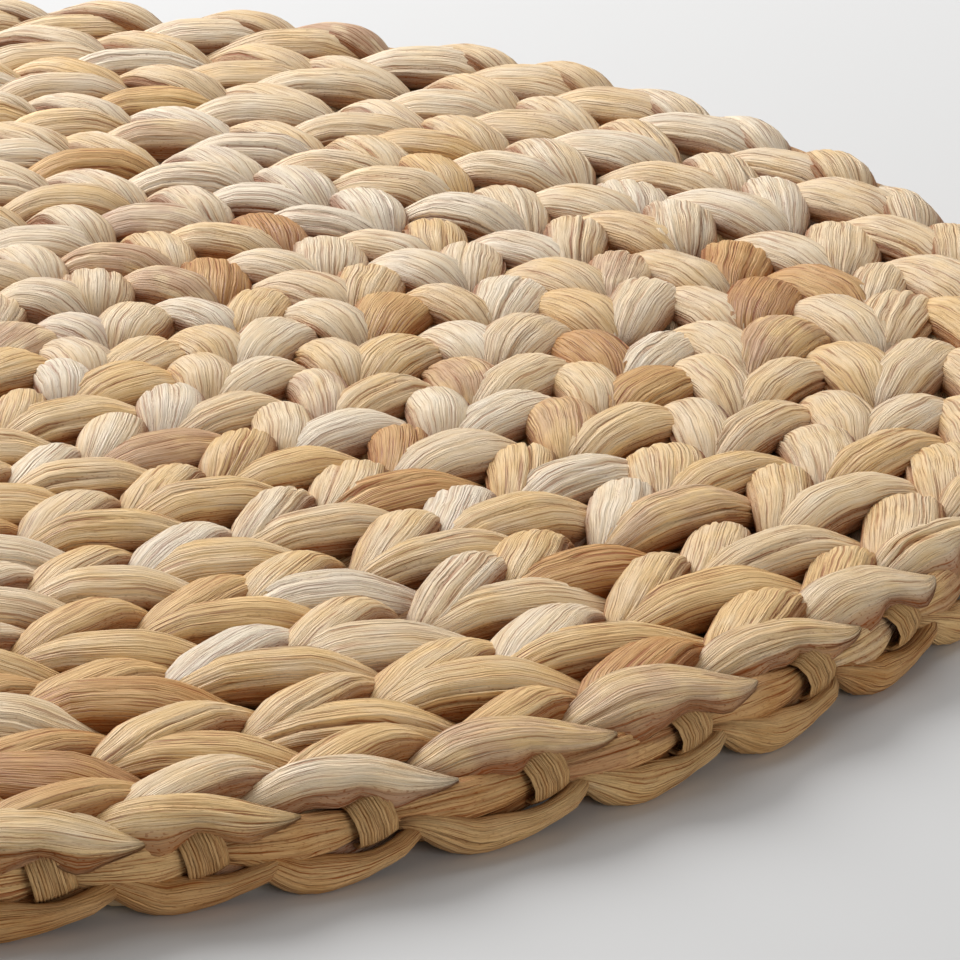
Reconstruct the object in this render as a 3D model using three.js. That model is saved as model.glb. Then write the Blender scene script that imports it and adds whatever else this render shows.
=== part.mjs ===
// Round placemat twined from dried water hyacinth stems. Ten rows of V stitches run round a small start knot.
// The stitches stand up on the top face, their ends make a lobed rim, and the underside lies flat.
import * as THREE from 'three';

// Driving dimensions, in millimetres and degrees
const MAT_DIAMETER = 370;
const START_KNOT_RADIUS = 2.5;
const START_KNOT_HEIGHT = 11;
const STITCH_SLANT = 32; // between an arm of a V and the line of its row
const CROWN_PLACE = 0.72; // how far along a stitch its crown stands, as a part of the stitch's length

// Rows of stitches from the start knot out to the rim: how many, and the angle in degrees where the first one starts.
// Stakes are added on the way out, so the count grows.
const ROWS = [
  { stitches: 8, turn: 0 },
  { stitches: 16, turn: 14 },
  { stitches: 22, turn: 5 },
  { stitches: 28, turn: 9 },
  { stitches: 34, turn: 2 },
  { stitches: 40, turn: 6 },
  { stitches: 44, turn: 3 },
  { stitches: 48, turn: -3.7 },
  { stitches: 52, turn: -28.1 },
  { stitches: 52, turn: -49.7 },
];

// Section across one row. Across is the distance from the row's spine as a part of half the row's width, negative
// towards the knot. Crown and dip are the heights above the table of a stitch's crown and of the dip behind it.
const ROW_SECTION = [
  { across: -0.86, crown: 10.8, dip: 8.8 },
  { across: -0.46, crown: 13.0, dip: 10.2 },
  { across: 0, crown: 11.4, dip: 9.2 },
  { across: 0.46, crown: 13.0, dip: 10.2 },
  { across: 0.86, crown: 10.8, dip: 8.8 },
];

// Section of the rim, from the ends of the top stitches down to the table. The insets are measured inwards from the
// mat's outline, at the middle of a lobe and in the notch beside it.
const RIM_SECTION = [
  { lobeInset: 0, notchInset: 2.4, height: 8.8 },
  { lobeInset: 1.8, notchInset: 2.6, height: 6.6 },
  { lobeInset: 0.4, notchInset: 2.2, height: 3.8 },
  { lobeInset: 3.4, notchInset: 4.4, height: 0 },
];

// Rings that fill the flat underside, from the rim to the middle
const UNDERSIDE_RINGS = [
  { radius: 110, corners: 12 },
  { radius: 50, corners: 3 },
];

const MAT_RADIUS = MAT_DIAMETER / 2;
const ROW_WIDTH = (MAT_RADIUS - START_KNOT_RADIUS) / ROWS.length;
const HALF_ROW = ROW_WIDTH / 2;
const FULL_TURN = 2 * Math.PI;
const ARM_RUN = HALF_ROW / Math.tan(THREE.MathUtils.degToRad(STITCH_SLANT)); // along the row, spine to row's edge

const driedStem = new THREE.MeshStandardMaterial({ color: 0xd0b083, roughness: 0.72, metalness: 0 });

// The mat's skin grows ring by ring: from the knot out over the rows, down the rim and back in under the mat.
const skinPoints = [];
const skinTriangles = [];

function addPoint(radius, angle, height) {
  skinPoints.push(radius * Math.cos(angle), radius * Math.sin(angle), height);
  return skinPoints.length / 3 - 1;
}

// A ring's places are in order of angle, each with its radius and height.
function addRing(places) {
  return places.map(({ angle, radius, height }) => ({ angle, point: addPoint(radius, angle, height) }));
}

// Joins two rings of one count, point by point.
function joinPaired(first, second) {
  first.forEach((place, i) => {
    const next = (i + 1) % first.length;
    const [a, aNext] = [place.point, first[next].point];
    const [b, bNext] = [second[i].point, second[next].point];
    skinTriangles.push(a, b, bNext, a, bNext, aNext);
  });
}

// Joins two rings of different counts, always stepping on along the ring that lags behind in angle.
function joinByAngle(first, second) {
  const lead = (place) => THREE.MathUtils.euclideanModulo(place.angle - first[0].angle, FULL_TURN);
  const ordered = [...second].sort((a, b) => lead(a) - lead(b));
  const leadAt = (ring, i) => lead(ring[i % ring.length]) + (i < ring.length ? 0 : FULL_TURN);
  const pointAt = (ring, i) => ring[i % ring.length].point;
  let i = 0;
  let j = 0;
  while (i < first.length || j < ordered.length) {
    const stepFirst = j === ordered.length
      || (i < first.length && leadAt(first, i + 1) <= leadAt(ordered, j + 1));
    skinTriangles.push(pointAt(first, i), pointAt(ordered, j));
    if (stepFirst) {
      i += 1;
      skinTriangles.push(pointAt(first, i));
    } else {
      j += 1;
      skinTriangles.push(pointAt(ordered, j));
    }
  }
}

// Two places for each stitch of a row: the dip where it comes up, then its crown. The arms of the Vs swing round as
// they leave the spine, so the places turn with the distance across the row.
function stitchRing(row, across, dip, crown) {
  const step = FULL_TURN / row.stitches;
  const swing = Math.abs(across) * ARM_RUN / row.spine;
  const places = [];
  for (let stitch = 0; stitch < row.stitches; stitch++) {
    const start = THREE.MathUtils.degToRad(row.turn) + stitch * step + swing;
    places.push({ angle: start, ...dip }, { angle: start + CROWN_PLACE * step, ...crown });
  }
  return addRing(places);
}

function rowRings(row) {
  return ROW_SECTION.map(({ across, crown, dip }) => {
    const radius = row.spine + across * HALF_ROW;
    return stitchRing(row, across, { radius, height: dip }, { radius, height: crown });
  });
}

function rimRings(row) {
  return RIM_SECTION.map(({ lobeInset, notchInset, height }) => {
    const notch = { radius: MAT_RADIUS - notchInset, height };
    const lobe = { radius: MAT_RADIUS - lobeInset, height };
    return stitchRing(row, 1, notch, lobe);
  });
}

function undersideRing({ radius, corners }) {
  const places = Array.from({ length: corners }, (_, i) => ({ angle: i * FULL_TURN / corners, radius, height: 0 }));
  return addRing(places);
}

// A ring of many points joins paired to the next of its own row, and by angle to a ring of another count.
function joinRings(rings) {
  rings.slice(1).forEach((ring, i) => {
    const join = ring.length === rings[i].length ? joinPaired : joinByAngle;
    join(rings[i], ring);
  });
}

function closeStartKnot(ring) {
  const middle = addPoint(0, 0, START_KNOT_HEIGHT);
  ring.forEach((place, i) => {
    skinTriangles.push(middle, place.point, ring[(i + 1) % ring.length].point);
  });
}

function closeUnderside(ring) {
  skinTriangles.push(...ring.map((place) => place.point).reverse());
}

function wovenMat() {
  const rows = ROWS.map((row, i) => ({ ...row, spine: START_KNOT_RADIUS + (i + 0.5) * ROW_WIDTH }));
  const rings = [
    ...rows.flatMap(rowRings),
    ...rimRings(rows[rows.length - 1]),
    ...UNDERSIDE_RINGS.map(undersideRing),
  ];
  closeStartKnot(rings[0]);
  joinRings(rings);
  closeUnderside(rings[rings.length - 1]);

  const skin = new THREE.BufferGeometry();
  skin.setAttribute('position', new THREE.Float32BufferAttribute(skinPoints, 3));
  skin.setIndex(skinTriangles);
  skin.computeVertexNormals();
  const mat = new THREE.Mesh(skin, driedStem);
  mat.name = 'woven_mat';
  return mat;
}

const placemat = new THREE.Group();
placemat.add(wovenMat());

export default placemat;
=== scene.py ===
import math
from typing import NamedTuple

import bpy
import numpy as np
from mathutils import Matrix, Vector


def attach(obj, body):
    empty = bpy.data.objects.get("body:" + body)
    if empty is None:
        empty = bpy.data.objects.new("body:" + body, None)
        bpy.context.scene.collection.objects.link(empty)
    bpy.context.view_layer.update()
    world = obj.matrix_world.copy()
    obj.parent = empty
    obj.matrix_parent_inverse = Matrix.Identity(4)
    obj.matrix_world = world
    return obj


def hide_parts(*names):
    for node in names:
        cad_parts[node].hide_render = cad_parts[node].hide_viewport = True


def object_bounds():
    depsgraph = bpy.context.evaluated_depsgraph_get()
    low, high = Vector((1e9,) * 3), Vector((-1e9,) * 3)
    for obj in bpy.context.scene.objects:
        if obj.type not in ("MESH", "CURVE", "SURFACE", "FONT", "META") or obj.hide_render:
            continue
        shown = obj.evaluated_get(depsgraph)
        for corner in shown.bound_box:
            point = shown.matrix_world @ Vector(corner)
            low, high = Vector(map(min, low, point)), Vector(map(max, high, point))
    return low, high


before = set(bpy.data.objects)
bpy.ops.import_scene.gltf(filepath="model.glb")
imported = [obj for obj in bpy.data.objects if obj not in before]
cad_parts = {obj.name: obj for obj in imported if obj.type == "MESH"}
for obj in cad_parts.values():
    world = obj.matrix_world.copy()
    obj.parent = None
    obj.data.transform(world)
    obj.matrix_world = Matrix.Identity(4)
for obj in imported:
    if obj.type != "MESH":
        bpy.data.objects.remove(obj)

# Driving sizes, in metres and degrees
MM = 0.001
SOLID_LOW, SOLID_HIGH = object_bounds()
MAT_RADIUS = (SOLID_HIGH.x - SOLID_LOW.x) / 2
MAT_THICKNESS = SOLID_HIGH.z
START_KNOT_RADIUS = 2.5 * MM

# Rows of V stitches from the start knot out to the rim: how many stitches, the angle in degrees where the
# first one starts, and the seed of the row's unevenness
ROWS = (
    (8, 0.0, 100),
    (16, 14.0, 101),
    (22, 5.0, 102),
    (28, 9.0, 103),
    (34, 2.0, 104),
    (40, 6.0, 105),
    (44, 3.0, 106),
    (48, -3.7, 21135),
    (52, -28.1, 46597),
    (52, -49.7, 28500),
)
RIM_ROW = len(ROWS) - 1
HALF_ROW = (MAT_RADIUS - START_KNOT_RADIUS) / len(ROWS) / 2
FULL_TURN = 2 * math.pi
UP = np.array([0.0, 0.0, 1.0])


class ArmShape(NamedTuple):
    """How one arm of a V lies and swells, from its narrow start under the stitch before to its end."""

    along: tuple  # start and end along the row, in stitch lengths from the V's point
    across: tuple  # start and end across the row, in half rows from its spine
    heights: tuple  # of the stem's middle above the table: at the start, at the crown and at the end
    crown: tuple  # where the climb to the crown ends and the drop behind it starts, as parts of the length
    width: float  # half the fullest width, as a part of the distance between two stems
    depth: float  # half the fullest thickness
    lip: float  # how far a thin leaf edge stands out on the outer side
    lean: float  # degrees that the face leans away from the row's spine
    tuck: float  # how far the end turns back towards the row's spine, in half rows
    swell: tuple  # place along the arm, and its width and depth there, as parts of the fullest


PLAIN_ARM = ArmShape(
    along=(-0.12, 1.48),
    across=(-0.02, 1.12),
    heights=(7.8 * MM, MAT_THICKNESS - 3.0 * MM, 5.2 * MM),
    crown=(0.35, 0.52),
    width=0.69,
    depth=3.1 * MM,
    lip=0.0,
    lean=10.0,
    tuck=0.0,
    swell=(
        (0.00, 0.20, 0.26),
        (0.05, 0.46, 0.52),
        (0.14, 0.72, 0.76),
        (0.28, 0.94, 0.95),
        (0.44, 1.00, 1.00),
        (0.64, 0.99, 1.00),
        (0.78, 0.94, 0.96),
        (0.90, 0.80, 0.84),
        (1.00, 0.44, 0.50),
    ),
)

# The outer arms of the last row lie along the rim and end in a flat leaf tip
RIM_ARM = ArmShape(
    along=(-0.30, 1.00),
    across=(-0.10, 0.66),
    heights=(8.0 * MM, 10.9 * MM, 9.5 * MM),
    crown=(0.42, 0.55),
    width=0.60,
    depth=2.5 * MM,
    lip=1.9 * MM,
    lean=12.0,
    tuck=0.0,
    swell=(
        (0.00, 0.24, 0.32),
        (0.06, 0.44, 0.52),
        (0.16, 0.70, 0.74),
        (0.30, 0.94, 0.95),
        (0.44, 1.00, 1.00),
        (0.60, 0.97, 0.88),
        (0.76, 0.82, 0.58),
        (0.88, 0.55, 0.32),
        (0.95, 0.30, 0.20),
        (1.00, 0.07, 0.10),
    ),
)

# The outer arms of the last row on the underside hang like boats below the wound ends, each with its end
# behind the start of the next
UNDER_RIM_ARM = ArmShape(
    along=(0.10, 1.34),
    across=(0.68, 0.82),
    heights=(MAT_THICKNESS - 6.2 * MM, MAT_THICKNESS - 2.2 * MM, MAT_THICKNESS - 4.4 * MM),
    crown=(0.40, 0.58),
    width=0.40,
    depth=2.35 * MM,
    lip=0.0,
    lean=36.0,
    tuck=0.22,
    swell=(
        (0.00, 0.16, 0.24),
        (0.10, 0.44, 0.52),
        (0.26, 0.84, 0.88),
        (0.44, 1.00, 1.00),
        (0.58, 0.92, 0.78),
        (0.72, 0.78, 0.58),
        (0.84, 0.74, 0.62),
        (0.94, 0.50, 0.48),
        (1.00, 0.16, 0.20),
    ),
)

# Behind those, the outer arms of the last row on the underside are short
UNDER_LAST_ARM = PLAIN_ARM._replace(across=(-0.02, 0.36), width=0.5)

TUCK_PLACE = (0.78, 0.98)  # where along an arm its end turns back

# Points along one stem
ARM_RINGS = 15
RIM_ARM_RINGS = 22
UNDER_RINGS = 8
UNDER_RIM_RINGS = 18
KNOT_RINGS = 9

# How unevenly a hand sets the stitches
UNEVEN_PLACE = 0.14  # along the row, in stitch lengths
UNEVEN_BOW = 0.06  # sideways at the middle of an arm, in half rows
UNEVEN_REACH = 0.05  # this and the next ones are parts of the size itself
UNEVEN_CROWN = 0.045
UNEVEN_WIDTH = 0.14
UNEVEN_DEPTH = 0.08

UNDER_SHIFT = 0.5  # how far the stitches of the underside stand from those of the top, in stitch lengths
USUAL_RUN = 1.3  # of an arm along the row, in stitch lengths
USUAL_REACH = 1.2  # of an arm across the row, in half rows

# Stems that cross from wound end to wound end along the rim, between its top and bottom arms
CROSS_RADIUS = MAT_RADIUS - 5.0 * MM
CROSS_HEIGHTS = (6.8 * MM, 6.6 * MM)  # beside a wound end, and between two
CROSS_DROP = (0.10, 0.60)  # where along the stem it goes down
CROSS_CLIMB = (0.75, 1.00)  # and where it comes up again
CROSS_BULGE = 1.4 * MM  # how far they stand out between the wound ends
CROSS_UNEVEN = 0.3 * MM
CROSS_HALF_HEIGHT = 2.9 * MM
CROSS_DEPTH = 2.4 * MM
CROSS_SWELL = (
    (0.00, 0.50, 0.60),
    (0.16, 0.52, 0.62),
    (0.34, 0.86, 0.90),
    (0.52, 1.00, 1.00),
    (0.70, 0.94, 0.96),
    (0.84, 0.64, 0.72),
    (1.00, 0.50, 0.60),
)

# The thin leaf edge of a rim arm, with places along the arm as parts of its length
LIP_START = (0.12, 0.30)
LIP_END = (0.92, 0.60)  # where it is gone, and where it starts to go
LIP_RAGGED = 0.45  # how much its width changes along the arm
RAGGED_TURNS = (11.0, 17.0)  # radians of that change from end to end, at least and at most
LIP_SHARPNESS = 14
LIP_DROOP = 0.55  # how far it bends down, as a part of its width
LIP_NOTCH = 0.58  # where it gives way to the wound end below
LIP_NOTCH_WIDTH = 0.08
LIP_NOTCH_DEPTH = 0.85
LIP_PINCH = 0.65  # how far the stem itself gives way there, as a part of the lip
PINCH_SHARPNESS = 3

TABLE_GAP = 0.1 * MM  # stems that lie on the table are pressed flat just above it

# Wound ends of the stakes in the rim
WOUND_PLACE = 0.45  # along a stitch from its point, as a part of its length
WOUND_INSET = 3.3 * MM  # of its middle from the mat's outline
WOUND_HEIGHT = 7.3 * MM
WOUND_RADIUS = 2.75 * MM
WOUND_LENGTH = 5.2 * MM
WOUND_TURNS = 12
WOUND_STRIP = 0.27 * MM  # half the width of the wound strip
WOUND_SLANT = -15.0
WOUND_STEPS = 10  # points in one turn
STRIP_SIDES = 5
WOUND_MIDDLE = 1.06  # how full the barrel is in its middle, and how much it loses towards its ends
WOUND_TAPER = 0.5
WOUND_TONES = (0.2, 0.38)
WOUND_BLUSHES = (0.0, 0.3)
WOUND_GROOVE = 0.28
STRIP_FIBRE_GIRTH = 3.0  # of the strip, in the fibre pattern's millimetres
STRIP_FIBRE_SEED = 11.0
WOUND_SEED = 5

# The short stem in the middle of the mat
KNOT_HALF_LENGTH = 4.6 * MM
KNOT_HALF_WIDTH = 2.6 * MM
KNOT_DEPTH = 2.2 * MM
KNOT_HEIGHT = 8.6 * MM
KNOT_DROP = 2.4 * MM  # of its ends below its middle
KNOT_TAPER = 0.94  # how much of its section's area is gone at its ends
KNOT_RIDGES = 5
KNOT_SEED = 3

# Pleats of a dried stem. Each ridge has columns of points: their place in the ridge and their share of a
# groove's depth.
RIDGES = 9
INNER_RIDGES = 7  # on the smaller stems near the start knot
UNDER_RIDGES = 3
BACK_COLUMNS = 4  # points across the plain back of a stem
UNDER_BACK_COLUMNS = 1
RIDGE_COLUMNS = ((0.0, -1.0), (0.3, 0.12), (0.7, 0.12))
RIDGE_WIDTHS = (0.55, 1.5)  # narrowest and widest, against each other
GROOVE_DEPTH = 0.9 * MM
GROOVE_SHARES = (0.25, 1.0)  # shallowest and deepest, as parts of that depth, before the power below
GROOVE_POWER = 2.2  # makes most grooves shallow and a few deep
STEM_PLEATING = (0.45, 1.0)  # the least and the most pleated stem
GROOVE_WAVE = 0.28  # how much a groove's depth changes along the stem
GROOVE_WAVE_TURN = 5.0  # radians of that change from end to end
PLEAT_FADE = 0.8  # power by which pleats get shallower where the stem narrows
LUMP = 0.05  # how much a stem's girth changes along it
LUMP_TURN = 8.0  # radians of that change from end to end
STEM_TWIST = 0.38  # most that the pleats turn round a stem from end to end, in radians
FACE_ARC = (-18.0, 198.0)  # part of a stem's section that has pleats
FIBRE_SEEDS = 90.0  # stems take their fibre from places in the pattern up to this far apart

# Browning of a stem, partly real and partly painted shade, as parts of a full groove's brown
SIDE_BROWN_AND_SHADE_FROM = 0.70  # sideways on its section, where 1 is the edge
START_BROWN_AND_SHADE = 0.42
START_BROWN_AND_SHADE_UP_TO = 0.16  # along the stem, as a part of its length
END_BROWN_AND_SHADE = 0.35
END_BROWN_AND_SHADE_FROM = 0.82

# The web of stakes and inner crossing stems that shows between the stitches
WEB_HEIGHT = 6.4 * MM
WEB_HALF_THICKNESS = 1.0 * MM
WEB_RIM_INSET = 6.0 * MM
WEB_HOLE_RADIUS = 2.0 * MM
WEB_RINGS = 12
STAKES = 104
STAKE_RIDGE = 0.35 * MM
STAKE_FADE_RADIUS = 40 * MM  # inside this radius the ridges get lower
# The web's tan and brown are painted shade: the inner stems it stands for are straw, seen in the shade of
# deep gaps
WEB_SHADED_TONE = 0.1
WEB_BLUSH = 0.2
WEB_SHADE = 0.6

MAT_SEED = 7


def mix(low, high, share):
    return low + (high - low) * share


def smooth_step(low, high, place):
    share = np.clip((place - low) / (high - low), 0, 1)
    return share * share * (3 - 2 * share)


def polar(radius, angle, height):
    radius, angle, height = np.broadcast_arrays(radius, angle, height)
    return np.stack([radius * np.cos(angle), radius * np.sin(angle), height], -1)


def unit(vectors):
    return vectors / np.linalg.norm(vectors, axis=-1, keepdims=True)


# Node trees from Python sums


class Wire:
    """A socket in a node tree. Sums of wires and numbers add Math nodes to the tree."""

    def __init__(self, tree, socket=None):
        self.tree = tree
        self.socket = socket

    def add(self, kind, settings=None, inputs=None, output=0):
        node = self.tree.nodes.new(kind)
        for name, value in (settings or {}).items():
            if name == "stops":
                self.fill_ramp(node.color_ramp, value)
            else:
                setattr(node, name, value)
        for key, value in (inputs or {}).items():
            self.plug(node.inputs[key], value)
        return Wire(self.tree, node.outputs[output] if node.outputs else None)

    def plug(self, socket, value):
        if isinstance(value, Wire):
            self.tree.links.new(value.socket, socket)
        else:
            socket.default_value = value

    @staticmethod
    def fill_ramp(ramp, stops):
        while len(ramp.elements) < len(stops):
            ramp.elements.new(0.5)
        for element, (place, colour) in zip(ramp.elements, stops):
            element.position = place
            element.color = colour

    def math(self, operation, *values):
        return self.add("ShaderNodeMath", {"operation": operation}, dict(enumerate(values)))

    def __add__(self, other):
        return self.math("ADD", self, other)

    def __sub__(self, other):
        return self.math("SUBTRACT", self, other)

    def __rsub__(self, other):
        return self.math("SUBTRACT", other, self)

    def __mul__(self, other):
        return self.math("MULTIPLY", self, other)

    __radd__ = __add__
    __rmul__ = __mul__

    def between(self, low, high):
        """0 below low and 1 above high, with a soft change between."""
        settings = {"interpolation_type": "SMOOTHSTEP"}
        return self.add("ShaderNodeMapRange", settings, {"Value": self, "From Min": low, "From Max": high})

    def blend(self, first, second):
        """The first colour where this wire is 0, and the second where it is 1."""
        settings = {"data_type": "RGBA"}
        return self.add("ShaderNodeMix", settings, {"Factor": self, 6: first, 7: second}, output=2)


def paint(red, green, blue):
    """A colour from its usual 0 to 255 values, as the light it gives back."""
    shares = [part / 255 for part in (red, green, blue)]
    linear = [s / 12.92 if s <= 0.04045 else ((s + 0.055) / 1.055) ** 2.4 for s in shares]
    return (*linear, 1.0)


CREAM = paint(250, 234, 209)
STRAW = paint(241, 202, 142)
TAN = paint(200, 143, 82)
# Brown of the fibre lines and specks, and of the painted shade in creases, at the sides and under the ends of
# stems
SHADE_AND_FIBRE_BROWN = paint(148, 74, 14)
BLUSH_BROWN = paint(184, 128, 92)
MAUVE_GREY = paint(214, 190, 176)
STEM_ROUGHNESS = 0.48
STEM_SPECULAR = 0.24
FIBRE_BUMP = 0.95
FIBRE_HEIGHT = 0.5 * MM


def dried_stem_material(name):
    """Dry hyacinth stem: tones from stem to stem, streaks, fine fibre, brown painted shade in grooves and
    sides.
    """
    material = bpy.data.materials.new(name)
    material.use_nodes = True
    tree = material.node_tree
    shader = tree.nodes["Principled BSDF"]
    bench = Wire(tree)

    def stem_value(attribute):
        return bench.add("ShaderNodeAttribute", {"attribute_name": attribute}, output="Fac")

    place = bench.add("ShaderNodeAttribute", {"attribute_name": "fibre_place"}, output="Vector")
    slow = bench.add("ShaderNodeVectorMath", {"operation": "MULTIPLY"}, {0: place, 1: (0.12, 0.16, 1.0)})
    wander = bench.add("ShaderNodeTexNoise", None, {"Vector": slow, "Scale": 1.0, "Detail": 1.0})
    shift = bench.add("ShaderNodeCombineXYZ", None, {0: (wander - 0.5) * 0.9})
    place = bench.add("ShaderNodeVectorMath", {"operation": "ADD"}, {0: place, 1: shift})

    def fibre_noise(across, along, detail=2.0):
        stretch = (across, along, 1.0)
        stretched = bench.add("ShaderNodeVectorMath", {"operation": "MULTIPLY"}, {0: place, 1: stretch})
        return bench.add("ShaderNodeTexNoise", None, {"Vector": stretched, "Scale": 1.0, "Detail": detail})

    tone, blush, groove = stem_value("stem_tone"), stem_value("stem_blush"), stem_value("groove")
    fine = fibre_noise(across=3.8, along=0.07)
    streak = fibre_noise(across=0.9, along=0.04)
    patch = fibre_noise(across=0.22, along=0.16)
    broken = fibre_noise(across=1.4, along=0.16, detail=1.0).between(0.36, 0.56)
    crack = fine.between(0.45, 0.39) * (0.3 + broken * 0.7)
    speck = fibre_noise(across=4.6, along=1.6, detail=0.0).between(0.66, 0.72) * (0.06 + groove)

    level = tone + (streak - 0.5) * 0.3 + (patch - 0.5) * 0.5 + (fine - 0.5) * 0.4
    stops = ((0.0, TAN), (0.45, STRAW), (1.0, CREAM))
    colour = bench.add("ShaderNodeValToRGB", {"stops": stops}, {"Fac": level})
    colour = (blush * patch.between(0.35, 0.6) * 0.8).blend(colour, BLUSH_BROWN)
    colour = ((1 - tone).between(0.2, 0.0) * streak.between(0.5, 0.62) * 0.18).blend(colour, MAUVE_GREY)
    colour = (streak.between(0.36, 0.26) * 0.12).blend(colour, BLUSH_BROWN)
    colour = (crack * (0.8 - tone * 0.3 + groove * 0.3)).blend(colour, SHADE_AND_FIBRE_BROWN)
    colour = (speck * 0.8).blend(colour, SHADE_AND_FIBRE_BROWN)
    # Painted shade: brown in the creases of the pleats, at the sides and dived-under ends of a stem, with its
    # stain
    colour = (groove.between(0.12, 1.0) * 0.8).blend(colour, SHADE_AND_FIBRE_BROWN)
    tree.links.new(colour.socket, shader.inputs["Base Color"])

    rough = STEM_ROUGHNESS + (fine - 0.5) * 0.25 + groove * 0.2
    tree.links.new(rough.socket, shader.inputs["Roughness"])

    ripple = fine + streak * 1.1 + fibre_noise(across=7.0, along=0.4, detail=1.0) * 0.3
    bump = bench.add("ShaderNodeBump", None, {
        "Strength": FIBRE_BUMP, "Distance": FIBRE_HEIGHT, "Height": ripple,
    })
    tree.links.new(bump.socket, shader.inputs["Normal"])
    shader.inputs["Specular IOR Level"].default_value = STEM_SPECULAR
    return material


# Puffy stems as joined meshes


class StemHeap:
    """Collects stems with their points, faces and the values that their material reads."""

    def __init__(self):
        self.points, self.quads, self.corners = [], [], []
        self.values = {name: [] for name in ("stem_tone", "stem_blush", "groove")}
        self.fibre_place = []
        self.count = 0

    def take(self, points, fibre_place, **values):
        """Adds closed tubes, from an array of points by stems, rings along each and columns round it."""
        stems, rings, columns, _ = points.shape
        flat = points.reshape(stems, -1, 3)
        ends = np.stack([points[:, 0].mean(1), points[:, -1].mean(1)], 1)
        size = rings * columns + 2
        place = np.arange(rings * columns).reshape(rings, columns)
        beside = np.roll(place, -1, axis=1)
        quads = np.stack([place[:-1], place[1:], beside[1:], beside[:-1]], -1).reshape(-1, 4)
        first_cap = np.stack([np.full(columns, size - 2), place[0], beside[0]], -1)
        last_cap = np.stack([np.full(columns, size - 1), beside[-1], place[-1]], -1)
        shift = (self.count + size * np.arange(stems))[:, None, None]
        self.points.append(np.concatenate([flat, ends], 1).reshape(-1, 3))
        self.quads.append((quads[None] + shift).reshape(-1, 4))
        self.corners.append((np.concatenate([first_cap, last_cap])[None] + shift).reshape(-1, 3))
        for name, store in self.values.items():
            grid = np.broadcast_to(values[name], (stems, rings, columns)).reshape(stems, -1)
            caps = np.repeat(grid[:, :1], 2, axis=1)
            store.append(np.concatenate([grid, caps], 1).ravel())
        grid = fibre_place.reshape(stems, -1, 3)
        self.fibre_place.append(np.concatenate([grid, grid[:, :2]], 1).reshape(-1, 3))
        self.count += size * stems

    def piece(self, name, material):
        """One joined mesh of all the stems taken."""
        points, quads, corners = (np.concatenate(x) for x in (self.points, self.quads, self.corners))
        mesh = bpy.data.meshes.new(name)
        mesh.vertices.add(len(points))
        mesh.vertices.foreach_set("co", points.astype(np.float32).ravel())
        loops = np.concatenate([quads.ravel(), corners.ravel()]).astype(np.int32)
        starts = np.concatenate([np.arange(len(quads)) * 4, quads.size + np.arange(len(corners)) * 3])
        mesh.loops.add(len(loops))
        mesh.loops.foreach_set("vertex_index", loops)
        mesh.polygons.add(len(starts))
        mesh.polygons.foreach_set("loop_start", starts.astype(np.int32))
        mesh.polygons.foreach_set("use_smooth", np.ones(len(starts), bool))
        for value, store in self.values.items():
            layer = mesh.attributes.new(value, "FLOAT", "POINT")
            layer.data.foreach_set("value", np.concatenate(store).astype(np.float32))
        layer = mesh.attributes.new("fibre_place", "FLOAT_VECTOR", "POINT")
        layer.data.foreach_set("vector", np.concatenate(self.fibre_place).astype(np.float32).ravel())
        mesh.update(calc_edges=True)
        mesh.materials.append(material)
        made = bpy.data.objects.new(name, mesh)
        bpy.context.scene.collection.objects.link(made)
        return made


PAINTED_SHEEN_DRIFT = 0.16  # painted sheen of the back light: how much paler the stems are on one side of the mat
PALEST_TURN = 60.0  # degrees round the mat
CREAM_RANGE = (0.82, 1.0)  # tones of a cream stem and of a tan one
TAN_RANGE = (0.08, 0.28)
STRONG_BLUSH = (0.4, 0.9)
FAINT_BLUSH = 0.12  # most on a stem that isn't stained


class StemTones(NamedTuple):
    """How the stems of a row differ in colour: tone goes from 0, tan, to 1, cream, and blush is brown."""

    middle: float  # of the tone
    spread: float
    cream_share: float  # of the stems
    tan_share: float
    blush_share: float
    least_blush: float = 0.0
    stain: float = 0.0  # brown all over, as in a groove
    # brown and painted shade at the sides of the section
    sides_brown_and_shade: float = 0.78

    def pick(self, turn, rng):
        """Tone and blush for stems at these turns round the mat."""
        count = len(turn)
        # Painted sheen: paler towards PALEST_TURN and darker on the opposite side
        sheen_paling = PAINTED_SHEEN_DRIFT * np.cos(turn - math.radians(PALEST_TURN))
        tone = np.clip(rng.normal(self.middle, self.spread, count) + sheen_paling, 0, 1)
        kind = rng.random(count)
        tone = np.where(kind < self.cream_share, rng.uniform(*CREAM_RANGE, count), tone)
        tone = np.where(kind > 1 - self.tan_share, rng.uniform(*TAN_RANGE, count), tone)
        stained = rng.random(count) < self.blush_share
        strong = rng.uniform(*STRONG_BLUSH, count)
        faint = self.least_blush + rng.uniform(0, FAINT_BLUSH, count)
        return tone, np.where(stained, strong, faint)


FACE_TONES = StemTones(0.62, 0.15, 0.13, 0.08, 0.07)  # inner rows
FIELD_TONES = StemTones(0.58, 0.13, 0.04, 0.07, 0.06)  # next rows out
OUTER_TONES = StemTones(0.55, 0.11, 0.02, 0.06, 0.05)  # last two rows
RIM_TONES = StemTones(0.59, 0.08, 0.0, 0.04, 0.04)  # leaf-edged arms of the rim
EDGE_TONES = StemTones(0.38, 0.10, 0.0, 0.12, 0.18, 0.14, 0.12, 0.1)  # boat-shaped stems under the rim
CROSS_TONES = StemTones(0.44, 0.10, 0.0, 0.12, 0.3, 0.12, 0.28, 0.2)  # stems between the wound ends


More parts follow.
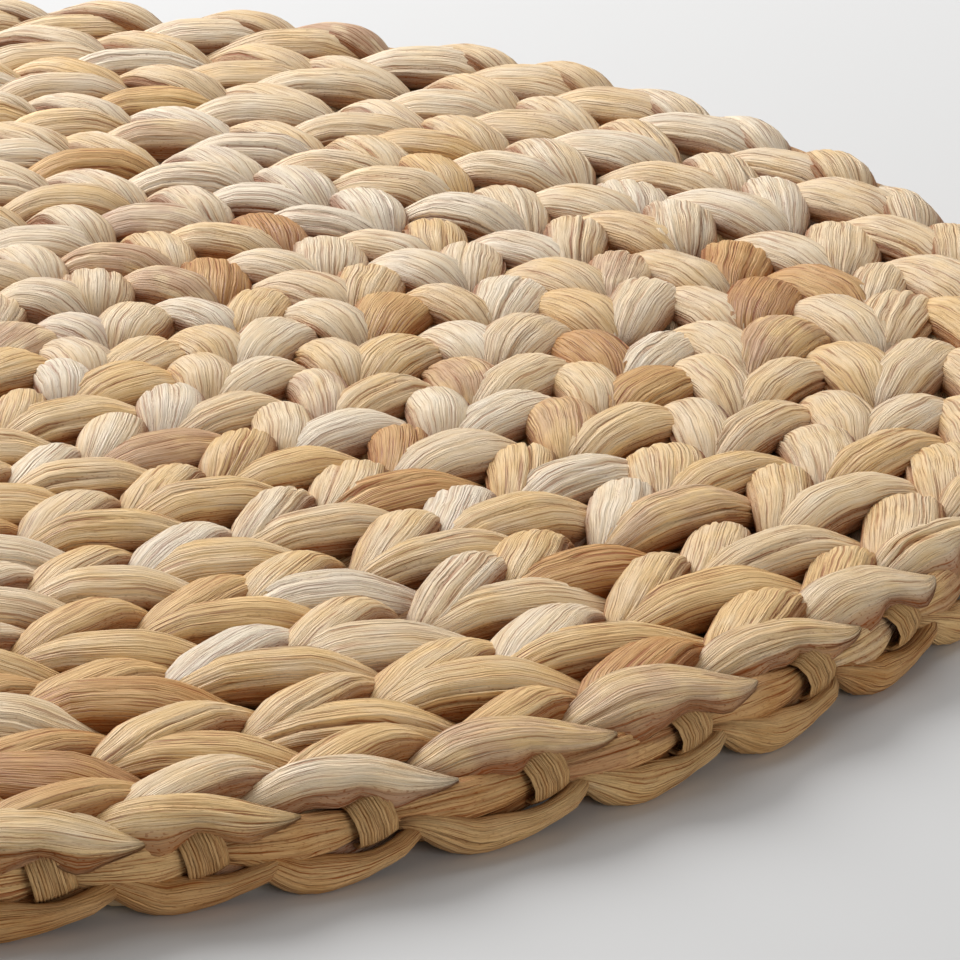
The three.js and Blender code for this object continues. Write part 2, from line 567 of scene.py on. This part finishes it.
def pleats(along, stems, ridges, rng):
    """Columns of points across a stem's face: their place, their lift and how deep in a groove they are."""
    widths = rng.uniform(*RIDGE_WIDTHS, (stems, ridges))
    edges = np.concatenate([np.zeros((stems, 1)), np.cumsum(widths, 1)], 1)
    edges /= edges[:, -1:]
    depths = GROOVE_DEPTH * rng.uniform(*GROOVE_SHARES, (stems, ridges + 1)) ** GROOVE_POWER
    depths = depths * rng.uniform(*STEM_PLEATING, (stems, 1))
    depths[:, [0, -1]] = 0
    wave = rng.uniform(0, FULL_TURN, (stems, 1, ridges + 1))
    depths = depths[:, None, :] * (1 - GROOVE_WAVE + GROOVE_WAVE * np.sin(wave + GROOVE_WAVE_TURN * along))

    place, lift, groove = [], [], []
    for share, part in RIDGE_COLUMNS:
        near = depths[..., :-1] if share < 0.5 else depths[..., 1:]
        place.append(mix(edges[:, :-1], edges[:, 1:], share))
        lift.append(part * near)
        # how deep in its groove a point lies, where the material paints shade
        groove.append(np.clip(-part * near / GROOVE_DEPTH, 0, 1))
    rings = along.shape[1]
    return (
        np.stack(place, -1).reshape(stems, 1, -1),
        np.stack(lift, -1).reshape(stems, rings, -1),
        np.stack(groove, -1).reshape(stems, rings, -1),
    )


def leaf_edge(along, cos, lip, rng):
    """How far a leaf edge stands out beside its stem, and how far the stem gives way to a wound end."""
    stems = len(cos)
    first = rng.uniform(0, FULL_TURN, (stems, 1, 1))
    ragged = np.sin(first + rng.uniform(*RAGGED_TURNS, (stems, 1, 1)) * along)
    dent = np.exp(-(((along - LIP_NOTCH) / LIP_NOTCH_WIDTH) ** 2))
    edge = lip * (1 - LIP_RAGGED + LIP_RAGGED * ragged) * (1 - LIP_NOTCH_DEPTH * dent)
    edge = edge * smooth_step(*LIP_START, along) * smooth_step(*LIP_END, along)
    outer = np.maximum(cos, 0)
    return edge * outer**LIP_SHARPNESS, LIP_PINCH * lip * dent * outer**PINCH_SHARPNESS


def puffy_stems(
    heap, centre, side_way, face_way, half_width, half_depth, rng,
    ridges=RIDGES, back=BACK_COLUMNS, tones=FACE_TONES, lip=0.0,
):
    """Stems along centre lines: an oval section that swells and narrows, with pleats along its face.

    centre, side_way and face_way are arrays of stems by rings by 3, half_width and half_depth of stems by
    rings.
    """
    stems, rings, _ = centre.shape
    along = np.linspace(0, 1, rings)[None, :, None]
    place, lift, groove = pleats(along, stems, ridges, rng)

    face_start, face_end = (math.radians(angle) for angle in FACE_ARC)
    twist = rng.uniform(-STEM_TWIST, STEM_TWIST, (stems, 1, 1))
    face_angle = mix(face_start, face_end, place) + twist * (along - 0.5) * np.sin(math.pi * place)
    plain = np.zeros((stems, rings, back + 1))
    back_angle = mix(face_end, face_start + FULL_TURN, np.arange(back + 1) / (back + 1))
    angle = np.concatenate([face_angle, back_angle + plain], -1)
    lift = np.concatenate([lift, plain], -1)
    groove = np.concatenate([groove, plain], -1)

    lump = 1 + LUMP * np.sin(rng.uniform(0, FULL_TURN, (stems, 1)) + LUMP_TURN * along[..., 0])
    wide = (half_width * lump)[..., None]
    deep = (half_depth * lump)[..., None]
    lift = lift * np.minimum(1.0, (wide / wide.max(axis=1, keepdims=True)) ** PLEAT_FADE)
    cos, sin = np.cos(angle), np.sin(angle)
    edge, pinch = leaf_edge(along, cos, lip, rng)
    normal_across, normal_out = cos / wide, sin / deep
    length = np.hypot(normal_across, normal_out)
    across = wide * cos + edge - pinch + lift * normal_across / length
    out = deep * sin - LIP_DROOP * edge + lift * normal_out / length
    points = centre[:, :, None] + across[..., None] * side_way[:, :, None]
    points = points + out[..., None] * face_way[:, :, None]
    points[..., 2] = np.maximum(points[..., 2], TABLE_GAP)

    step = np.linalg.norm(np.diff(centre, axis=1), axis=-1)
    run = np.concatenate([np.zeros((stems, 1)), np.cumsum(step, 1)], 1)
    seed = rng.uniform(0, FIBRE_SEEDS, (stems, 1, 1))
    girth = half_width.max(axis=1)[:, None, None] * angle
    fibre_place = np.stack(np.broadcast_arrays(girth / MM, run[..., None] / MM, seed), -1)
    middle = centre[:, rings // 2]
    tone, blush = tones.pick(np.arctan2(middle[:, 1], middle[:, 0]), rng)
    # Partly real browning, partly painted shade: darker at the sides of the section, at the start and,
    # without a leaf edge, at the end
    sides_and_ends_brown_shade = tones.sides_brown_and_shade * smooth_step(SIDE_BROWN_AND_SHADE_FROM, 1.0, np.abs(cos))
    sides_and_ends_brown_shade = sides_and_ends_brown_shade + START_BROWN_AND_SHADE * smooth_step(START_BROWN_AND_SHADE_UP_TO, 0.0, along)
    if not lip:
        sides_and_ends_brown_shade = sides_and_ends_brown_shade + END_BROWN_AND_SHADE * smooth_step(END_BROWN_AND_SHADE_FROM, 1.0, along)
    groove = np.clip(groove + sides_and_ends_brown_shade + tones.stain, 0, 1)
    heap.take(
        points, fibre_place, stem_tone=tone[:, None, None], stem_blush=blush[:, None, None], groove=groove,
    )


def stem_frame(centre, face_hint):
    """Side and face directions along centre lines, square to the line and with the face near the hint."""
    line = unit(np.gradient(centre, axis=1))
    side = unit(np.cross(line, face_hint))
    return side, np.cross(side, line)


def row_stitches(row):
    """Angles of a row's stitches, a little uneven as a hand sets them, and the even step between them."""
    count, turn, seed = ROWS[row]
    step = FULL_TURN / count
    uneven = np.random.default_rng(seed).uniform(-UNEVEN_PLACE, UNEVEN_PLACE, count)
    return math.radians(turn) + step * (np.arange(count) + uneven), step


def row_spine(row):
    return START_KNOT_RADIUS + (2 * row + 1) * HALF_ROW


def stitch_arms(heap, row, side, rng, shape=PLAIN_ARM, rings=ARM_RINGS, upper=True, **stem):
    """All arms on one side of a row's spine, on the top face or the underside."""
    starts, step = row_stitches(row)
    spine = row_spine(row)
    count = len(starts)
    t = np.linspace(0, 1, rings)[None, :]

    def uneven(amount):
        return 1 + rng.uniform(-amount, amount, (count, 1))

    if not upper:
        starts = starts + UNDER_SHIFT * step
    share = (t + smooth_step(0, 1, t)) / 2
    bow = rng.uniform(-UNEVEN_BOW, UNEVEN_BOW, (count, 1)) * np.sin(math.pi * t)
    along = step * mix(shape.along[0], shape.along[1] * uneven(UNEVEN_REACH), t)
    reach = mix(shape.across[0], shape.across[1] * uneven(UNEVEN_REACH), share) + bow
    across = side * HALF_ROW * (reach - shape.tuck * smooth_step(*TUCK_PLACE, t))
    low, crown, end = shape.heights
    crown = crown * uneven(UNEVEN_CROWN)
    height = mix(low, crown, smooth_step(0, shape.crown[0], t))
    height = height - (crown - end) * smooth_step(shape.crown[1], 1.0, t)
    radius = spine + across
    centre = polar(radius, starts[:, None] + along, height)

    pitch = spine * step
    slope = math.atan2(USUAL_REACH * HALF_ROW, USUAL_RUN * pitch)
    fullest = shape.width * pitch * math.sin(slope)
    swell = np.array(shape.swell)
    half_width = fullest * np.interp(t, swell[:, 0], swell[:, 1]) * uneven(UNEVEN_WIDTH) * radius / spine
    half_depth = shape.depth * np.interp(t, swell[:, 0], swell[:, 2]) * uneven(UNEVEN_DEPTH)

    lean = math.radians(shape.lean) * side
    away = polar(np.ones_like(radius), starts[:, None] + along, 0 * radius)
    hint = math.cos(lean) * UP + math.sin(lean) * away
    if not upper:
        centre = centre * [1, 1, -1] + [0, 0, MAT_THICKNESS]
        hint = hint * [1, 1, -1]
    side_way, face_way = stem_frame(centre, hint)
    puffy_stems(heap, centre, side_way, face_way, half_width, half_depth, rng, lip=shape.lip, **stem)


def start_knot(heap, rng):
    """A short stem that closes the hole in the middle of the first row."""
    t = np.linspace(-1, 1, KNOT_RINGS)
    centre = np.stack([KNOT_HALF_LENGTH * t, 0 * t, KNOT_HEIGHT - KNOT_DROP * t * t], -1)[None]
    side_way, face_way = stem_frame(centre, UP)
    swell = np.sqrt(1 - KNOT_TAPER * t * t)[None]
    half_width, half_depth = KNOT_HALF_WIDTH * swell, KNOT_DEPTH * swell
    puffy_stems(heap, centre, side_way, face_way, half_width, half_depth, rng, ridges=KNOT_RIDGES)


def wound_places():
    """Angle of each wound stake end along the rim."""
    starts, step = row_stitches(RIM_ROW)
    return starts + WOUND_PLACE * step


def crossing_stems(heap, rng):
    """Stems from one wound end to the next, in the middle of the rim's edge."""
    starts = wound_places()
    ends = np.append(starts[1:], starts[0] + FULL_TURN)
    t = np.linspace(0, 1, ARM_RINGS)[None, :]
    tuck = WOUND_LENGTH / 2 / CROSS_RADIUS
    angle = mix((starts - tuck)[:, None], (ends + tuck)[:, None], t)
    beside, between = CROSS_HEIGHTS
    height = mix(beside, between, smooth_step(*CROSS_DROP, t) - smooth_step(*CROSS_CLIMB, t))
    bulge = CROSS_BULGE + rng.uniform(-CROSS_UNEVEN, CROSS_UNEVEN, (len(starts), 1))
    radius = CROSS_RADIUS + bulge * np.sin(math.pi * t)
    centre = polar(radius, angle, height)
    swell = np.array(CROSS_SWELL)
    half_width = CROSS_HALF_HEIGHT * np.interp(t, swell[:, 0], swell[:, 1]) * np.ones((len(starts), 1))
    half_depth = CROSS_DEPTH * np.interp(t, swell[:, 0], swell[:, 2]) * np.ones((len(starts), 1))
    side_way, face_way = stem_frame(centre, polar(np.ones_like(angle), angle, 0 * angle))
    puffy_stems(heap, centre, side_way, face_way, half_width, half_depth, rng, tones=CROSS_TONES)


def wound_end_tree():
    """Geometry Nodes: a fine strip wound into a small barrel, set at every point and turned to its facing."""
    tree = bpy.data.node_groups.new("wound_stake_ends", "GeometryNodeTree")
    tree.interface.new_socket("Geometry", in_out="INPUT", socket_type="NodeSocketGeometry")
    for name in ("Turns", "Radius", "Length", "Strip"):
        tree.interface.new_socket(name, in_out="INPUT", socket_type="NodeSocketFloat")
    tree.interface.new_socket("Seed", in_out="INPUT", socket_type="NodeSocketInt")
    tree.interface.new_socket("Material", in_out="INPUT", socket_type="NodeSocketMaterial")
    tree.interface.new_socket("Geometry", in_out="OUTPUT", socket_type="NodeSocketGeometry")
    bench = Wire(tree)
    given = tree.nodes.new("NodeGroupInput")

    def value(name):
        return Wire(tree, given.outputs[name])

    def keep(geometry, name, kind, stored, domain="POINT"):
        settings = {"data_type": kind, "domain": domain}
        return bench.add("GeometryNodeStoreNamedAttribute", settings, {
            "Geometry": geometry, "Name": name, "Value": stored,
        })

    spiral = bench.add("GeometryNodeCurveSpiral", None, {
        "Resolution": WOUND_STEPS, "Rotations": value("Turns"), "Start Radius": value("Radius"),
        "End Radius": value("Radius"), "Height": value("Length"),
    })
    place = bench.add("GeometryNodeInputPosition")
    rise = bench.add("ShaderNodeSeparateXYZ", None, {0: place}, output="Z")
    middle = rise.math("DIVIDE", rise, value("Length")) - 0.5
    bulge = WOUND_MIDDLE - middle * middle * WOUND_TAPER
    scaled = bench.add("ShaderNodeCombineXYZ", None, {0: bulge, 1: bulge, 2: 1.0})
    moved = bench.add("ShaderNodeVectorMath", {"operation": "MULTIPLY"}, {0: place, 1: scaled})
    half = bench.add("ShaderNodeCombineXYZ", None, {2: value("Length") * 0.5})
    centred = bench.add("ShaderNodeVectorMath", {"operation": "SUBTRACT"}, {0: moved, 1: half})
    barrel = bench.add("GeometryNodeSetPosition", None, {"Geometry": spiral, "Position": centred})
    run = bench.add("GeometryNodeSplineParameter", output="Length")
    barrel = keep(barrel, "run", "FLOAT", run)
    strip = bench.add("GeometryNodeCurvePrimitiveCircle", None, {
        "Resolution": STRIP_SIDES, "Radius": value("Strip"),
    })
    strip = keep(strip, "girth", "FLOAT", bench.add("GeometryNodeSplineParameter", output="Factor"))
    wound = bench.add("GeometryNodeCurveToMesh", None, {
        "Curve": barrel, "Profile Curve": strip, "Fill Caps": True,
    })

    def stored(name, kind="FLOAT"):
        settings = {"data_type": kind}
        return bench.add("GeometryNodeInputNamedAttribute", settings, {"Name": name}, output="Attribute")

    fibre = bench.add("ShaderNodeCombineXYZ", None, {
        0: stored("girth") * STRIP_FIBRE_GIRTH, 1: stored("run") * (1 / MM), 2: STRIP_FIBRE_SEED,
    })
    wound = keep(wound, "fibre_place", "FLOAT_VECTOR", fibre)
    wound = keep(wound, "groove", "FLOAT", WOUND_GROOVE)
    facing = stored("facing", "FLOAT_VECTOR")
    turned = bench.add("FunctionNodeEulerToRotation", None, {"Euler": facing})
    made = bench.add("GeometryNodeInstanceOnPoints", None, {
        "Points": value("Geometry"), "Instance": wound, "Rotation": turned,
    })

    def chance(low, high, shift):
        return bench.add("FunctionNodeRandomValue", {"data_type": "FLOAT"}, {
            "Min": low, "Max": high, "Seed": value("Seed") + shift,
        }, output=1)

    made = keep(made, "stem_tone", "FLOAT", chance(*WOUND_TONES, 1), "INSTANCE")
    made = keep(made, "stem_blush", "FLOAT", chance(*WOUND_BLUSHES, 2), "INSTANCE")
    made = bench.add("GeometryNodeRealizeInstances", None, {"Geometry": made})
    made = bench.add("GeometryNodeSetShadeSmooth", None, {"Geometry": made})
    made = bench.add("GeometryNodeSetMaterial", None, {"Geometry": made, "Material": value("Material")})
    result = tree.nodes.new("NodeGroupOutput")
    tree.links.new(made.socket, result.inputs["Geometry"])
    return tree


def wound_stake_ends(material):
    """The ends of the stakes between the rim's stems, each wound round with a fine strip."""
    angles = wound_places()
    points = polar(MAT_RADIUS - WOUND_INSET, angles, WOUND_HEIGHT)
    mesh = bpy.data.meshes.new("wound_stake_points")
    mesh.from_pydata(points.tolist(), [], [])
    facing = mesh.attributes.new("facing", "FLOAT_VECTOR", "POINT")
    slant = math.radians(90 + WOUND_SLANT)
    turns = [(slant, 0, angle - math.pi) for angle in angles]
    facing.data.foreach_set("vector", np.array(turns, np.float32).ravel())
    points_object = bpy.data.objects.new("wound_stake_points", mesh)
    bpy.context.scene.collection.objects.link(points_object)

    modifier = points_object.modifiers.new("wound", "NODES")
    modifier.node_group = wound_end_tree()
    given = {
        "Turns": float(WOUND_TURNS), "Radius": WOUND_RADIUS, "Length": WOUND_LENGTH,
        "Strip": WOUND_STRIP, "Seed": WOUND_SEED, "Material": material,
    }
    for item in modifier.node_group.interface.items_tree:
        if item.in_out == "INPUT" and item.name in given:
            modifier[item.identifier] = given[item.name]
    bpy.context.view_layer.update()
    ready = points_object.evaluated_get(bpy.context.evaluated_depsgraph_get())
    wound_mesh = bpy.data.meshes.new_from_object(ready)
    bpy.data.objects.remove(points_object)
    wound = bpy.data.objects.new("wound_stake_ends", wound_mesh)
    bpy.context.scene.collection.objects.link(wound)
    return wound


def stake_web(material):
    """One ribbed sheet for the stakes and the stems that cross inside the mat."""
    around = np.linspace(0, FULL_TURN, STAKES * 2, endpoint=False)
    radii = np.linspace(WEB_HOLE_RADIUS, MAT_RADIUS - WEB_RIM_INSET, WEB_RINGS)
    wave = np.where(np.arange(len(around)) % 2 == 0, 1.0, -1.0)
    radius, angle = np.meshgrid(radii, around, indexing="ij")
    ridge = STAKE_RIDGE * wave[None, :] * np.minimum(1, radius / STAKE_FADE_RADIUS)
    top = polar(radius, angle, WEB_HEIGHT + WEB_HALF_THICKNESS + ridge)
    bottom = polar(radius, angle, WEB_HEIGHT - WEB_HALF_THICKNESS + ridge)
    place = np.stack([angle * radius / MM, radius / MM, 0 * radius], -1)
    heap = StemHeap()
    heap.take(
        # painted shade: darker than the straw of the inner stems
        np.concatenate([top, bottom[::-1]])[None], np.concatenate([place, place[::-1]])[None],
        stem_tone=WEB_SHADED_TONE, stem_blush=WEB_BLUSH, groove=WEB_SHADE,
    )
    return heap.piece("stake_web", material)


# Camera, floor and light

PHOTO_FOCAL_PIXELS = 6000.0
PHOTO_WIDTH_PIXELS = 960.0
SENSOR_WIDTH = 36.0  # millimetres
CAMERA_RISE = 20.26  # degrees above the table
CAMERA_DISTANCE = 0.8368
CAMERA_ROLL = -0.46
CAMERA_CLIP = 0.01
LOOK_AT = Vector((0.1005, -0.0246, 0.0))
FLOOR_REACH = 6.0
FLOOR_GREY = paint(215, 215, 215)
FLOOR_ROUGHNESS = 0.7
WORLD_WHITE = (1.0, 0.97, 0.93, 1.0)
WORLD_STRENGTH = 0.20
LAMP_AIM = (0.08, 0.0, 0.0)
FILL_AIM = (0.1, 0.0, 0.0)


def photo_camera():
    lens = bpy.data.cameras.new("photo_camera")
    lens.sensor_width = SENSOR_WIDTH
    lens.lens = SENSOR_WIDTH * PHOTO_FOCAL_PIXELS / PHOTO_WIDTH_PIXELS
    lens.clip_start = CAMERA_CLIP
    camera = bpy.data.objects.new("photo_camera", lens)
    rise = math.radians(CAMERA_RISE)
    back = Vector((0, -math.cos(rise), math.sin(rise)))
    turned = back.to_track_quat("Z", "Y").to_matrix() @ Matrix.Rotation(math.radians(CAMERA_ROLL), 3, "Z")
    camera.matrix_world = Matrix.Translation(LOOK_AT + back * CAMERA_DISTANCE) @ turned.to_4x4()
    bpy.context.scene.collection.objects.link(camera)
    bpy.context.scene.camera = camera


def pale_floor():
    corners = [(x * FLOOR_REACH, y * FLOOR_REACH, 0) for x, y in ((-1, -1), (1, -1), (1, 1), (-1, 1))]
    mesh = bpy.data.meshes.new("table_top")
    mesh.from_pydata(corners, [], [(0, 1, 2, 3)])
    floor = bpy.data.objects.new("table_top", mesh)
    bpy.context.scene.collection.objects.link(floor)
    material = bpy.data.materials.new("pale_table")
    material.use_nodes = True
    shader = material.node_tree.nodes["Principled BSDF"]
    shader.inputs["Base Color"].default_value = FLOOR_GREY
    shader.inputs["Roughness"].default_value = FLOOR_ROUGHNESS
    mesh.materials.append(material)


def soft_lamp(name, place, aim, size, watts):
    lamp = bpy.data.lights.new(name, "AREA")
    lamp.shape = "DISK"
    lamp.size = size
    lamp.energy = watts
    stand = bpy.data.objects.new(name, lamp)
    way = Vector(aim) - Vector(place)
    stand.matrix_world = Matrix.Translation(place) @ way.to_track_quat("-Z", "Y").to_matrix().to_4x4()
    bpy.context.scene.collection.objects.link(stand)


def studio_light():
    world = bpy.data.worlds.new("studio")
    world.use_nodes = True
    glow = world.node_tree.nodes["Background"]
    glow.inputs["Color"].default_value = WORLD_WHITE
    glow.inputs["Strength"].default_value = WORLD_STRENGTH
    bpy.context.scene.world = world
    soft_lamp("window_light", place=(-0.68, 0.85, 0.78), aim=LAMP_AIM, size=1.0, watts=20.9)
    soft_lamp("ceiling_light", place=(0.1, 0.85, 1.15), aim=LAMP_AIM, size=1.6, watts=9.0)
    soft_lamp("fill_light", place=(0.75, -1.0, 0.3), aim=FILL_AIM, size=0.6, watts=3.2)
    bpy.context.scene.view_settings.view_transform = "Standard"


# The mat


class TopPiece(NamedTuple):
    """Rows of the top face that are joined to one piece."""

    rows: tuple
    tones: StemTones
    ridges: int = RIDGES


TOP_PIECES = {
    "start_rows": TopPiece((0, 1, 2, 3), FACE_TONES, INNER_RIDGES),
    "middle_rows": TopPiece((4, 5), FACE_TONES),
    "outer_rows": TopPiece((6, 7), FIELD_TONES),
    "last_but_one_row": TopPiece((8,), OUTER_TONES),
    "rim_row": TopPiece((RIM_ROW,), OUTER_TONES),
}


def top_piece(name, piece, material, rng):
    heap = StemHeap()
    for row in piece.rows:
        stitch_arms(heap, row, -1, rng, tones=piece.tones, ridges=piece.ridges)
        if row == RIM_ROW:
            stitch_arms(heap, row, 1, rng, RIM_ARM, rings=RIM_ARM_RINGS, tones=RIM_TONES)
        else:
            stitch_arms(heap, row, 1, rng, tones=piece.tones, ridges=piece.ridges)
    if 0 in piece.rows:
        start_knot(heap, np.random.default_rng(KNOT_SEED))
    return heap.piece(name, material)


def underside_rows(material, rng):
    heap = StemHeap()
    coarse = {"rings": UNDER_RINGS, "ridges": UNDER_RIDGES, "back": UNDER_BACK_COLUMNS}
    for row in range(len(ROWS)):
        for side in (-1, 1):
            shape = UNDER_LAST_ARM if (row, side) == (RIM_ROW, 1) else PLAIN_ARM
            stitch_arms(heap, row, side, rng, shape, upper=False, **coarse)
    return heap.piece("underside_rows", material)


def rim_edge(material, rng):
    heap = StemHeap()
    stitch_arms(heap, RIM_ROW, 1, rng, UNDER_RIM_ARM, rings=UNDER_RIM_RINGS, upper=False, tones=EDGE_TONES)
    crossing_stems(heap, rng)
    return heap.piece("rim_edge", material)


def build_mat():
    stem = dried_stem_material("dried_stem")
    rng = np.random.default_rng(MAT_SEED)
    made = [top_piece(name, piece, stem, rng) for name, piece in TOP_PIECES.items()]
    made.append(underside_rows(stem, rng))
    made.append(rim_edge(stem, rng))
    made.append(wound_stake_ends(stem))

    web = stake_web(stem)
    for piece in (*made, web):
        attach(piece, "root")
        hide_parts("woven_mat")


photo_camera()
pale_floor()
studio_light()
build_mat()
